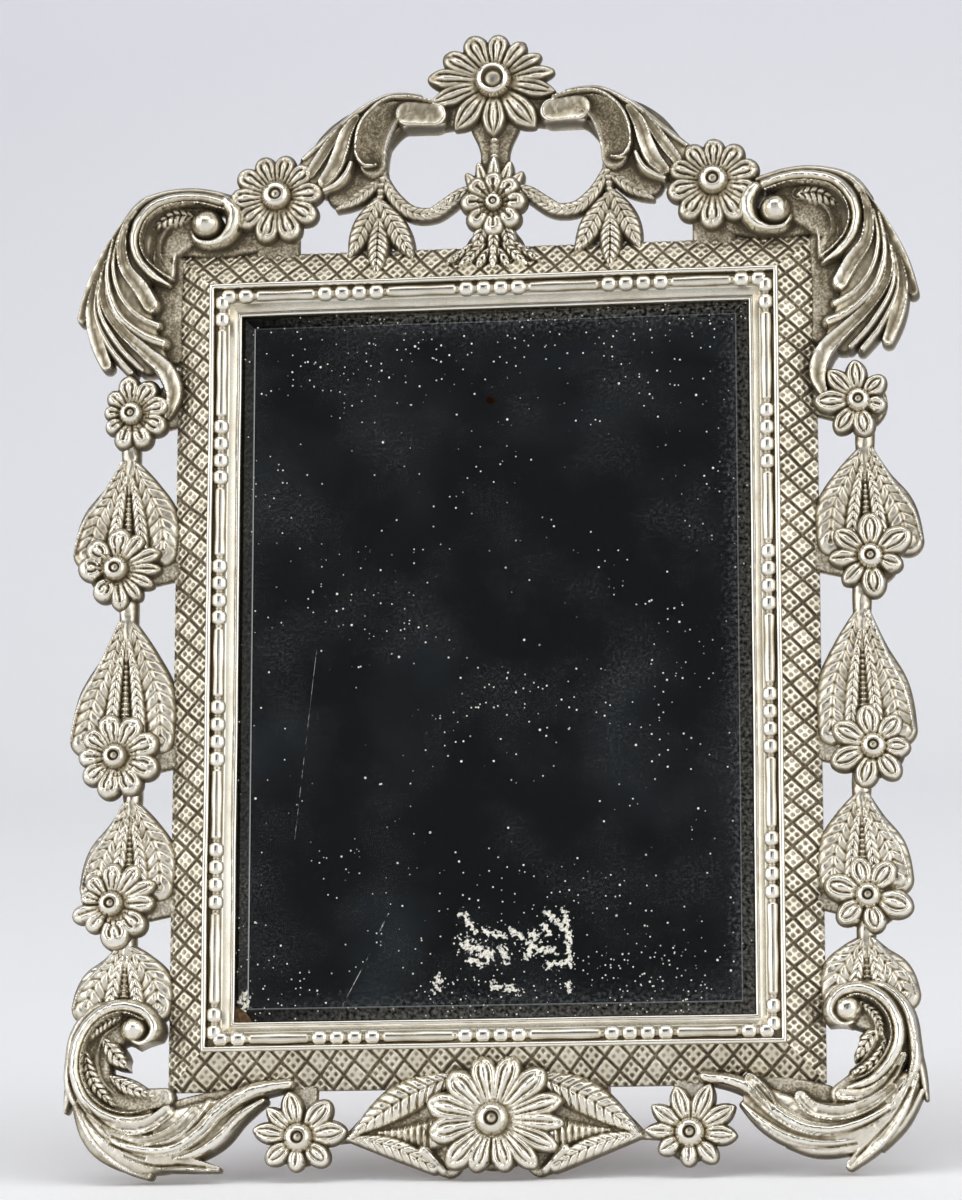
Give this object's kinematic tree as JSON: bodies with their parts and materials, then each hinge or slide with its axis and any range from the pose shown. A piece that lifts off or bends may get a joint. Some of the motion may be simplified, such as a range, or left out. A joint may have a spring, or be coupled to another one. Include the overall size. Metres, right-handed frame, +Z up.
{
  "type": "table mirror",
  "caption": "Free-standing table mirror: a bevelled glass in a silver frame of lattice rails, beaded moulding, openwork flowers, leaves and corner scrolls, on a folding easel strut.",
  "frame": {"origin": "on the table, under the middle of the overall box", "axes": "+Z up, -Y towards the viewer in front of the glass, +X to the viewer's right"},
  "size_m": [0.2495, 0.1178, 0.3313],
  "materials": {
    "cast_silver": "satin",
    "frosted_silver": "matte",
    "polished_silver": "polished",
    "mirror_glass": "polished",
    "brown_card": "matte",
    "cedar": "satin",
    "brass": "satin"
  },
  "bodies": {
    "mirror": {"apron_flower": "cast_silver", "apron_leaves": "cast_silver", "apron_small_flower_left": "cast_silver", "apron_small_flower_right": "cast_silver", "back_board": "cedar", "back_screws": "brass", "bead_wire_bottom": "polished_silver", "bead_wire_left": "polished_silver", "bead_wire_right": "polished_silver", "bead_wire_top": "polished_silver", "corner_scroll_bottom_left": "cast_silver", "corner_scroll_bottom_right": "cast_silver", "corner_scroll_top_left": "cast_silver", "corner_scroll_top_right": "cast_silver", "crest_bud_flower": "cast_silver", "crest_drop_left": "cast_silver", "crest_drop_right": "cast_silver", "crest_flower": "cast_silver", "crest_scroll_left": "cast_silver", "crest_scroll_right": "cast_silver", "crest_stem": "cast_silver", "flower_rivets": "polished_silver", "hinge_board_leaf": "brass", "hinge_board_screws": "brass", "hinge_pin": "brass", "lattice_rail_bottom": "frosted_silver", "lattice_rail_left": "frosted_silver", "lattice_rail_right": "frosted_silver", "lattice_rail_top": "frosted_silver", "leaf_spray_left_1": "cast_silver", "leaf_spray_left_2": "cast_silver", "leaf_spray_left_3": "cast_silver", "leaf_spray_left_4": "cast_silver", "leaf_spray_right_1": "cast_silver", "leaf_spray_right_2": "cast_silver", "leaf_spray_right_3": "cast_silver", "leaf_spray_right_4": "cast_silver", "mirror_plate": "mirror_glass", "packing_card": "brown_card", "shoulder_flower_left": "cast_silver", "shoulder_flower_right": "cast_silver", "side_flower_left_1": "cast_silver", "side_flower_left_2": "cast_silver", "side_flower_left_3": "cast_silver", "side_flower_left_4": "cast_silver", "side_flower_right_1": "cast_silver", "side_flower_right_2": "cast_silver", "side_flower_right_3": "cast_silver", "side_flower_right_4": "cast_silver", "sight_moulding_bottom": "polished_silver", "sight_moulding_left": "polished_silver", "sight_moulding_right": "polished_silver", "sight_moulding_top": "polished_silver"},
    "strut": {"easel_strut": "cedar", "hinge_strut_leaf": "brass", "hinge_strut_screws": "brass"}
  },
  "joints": [
    {"name": "strut_fold", "type": "hinge", "parent": "mirror", "child": "strut", "pos_m": [0, 0.01047, 0.20367], "axis": [-1, 0, 0], "range_deg": [0, 26]}
  ]
}
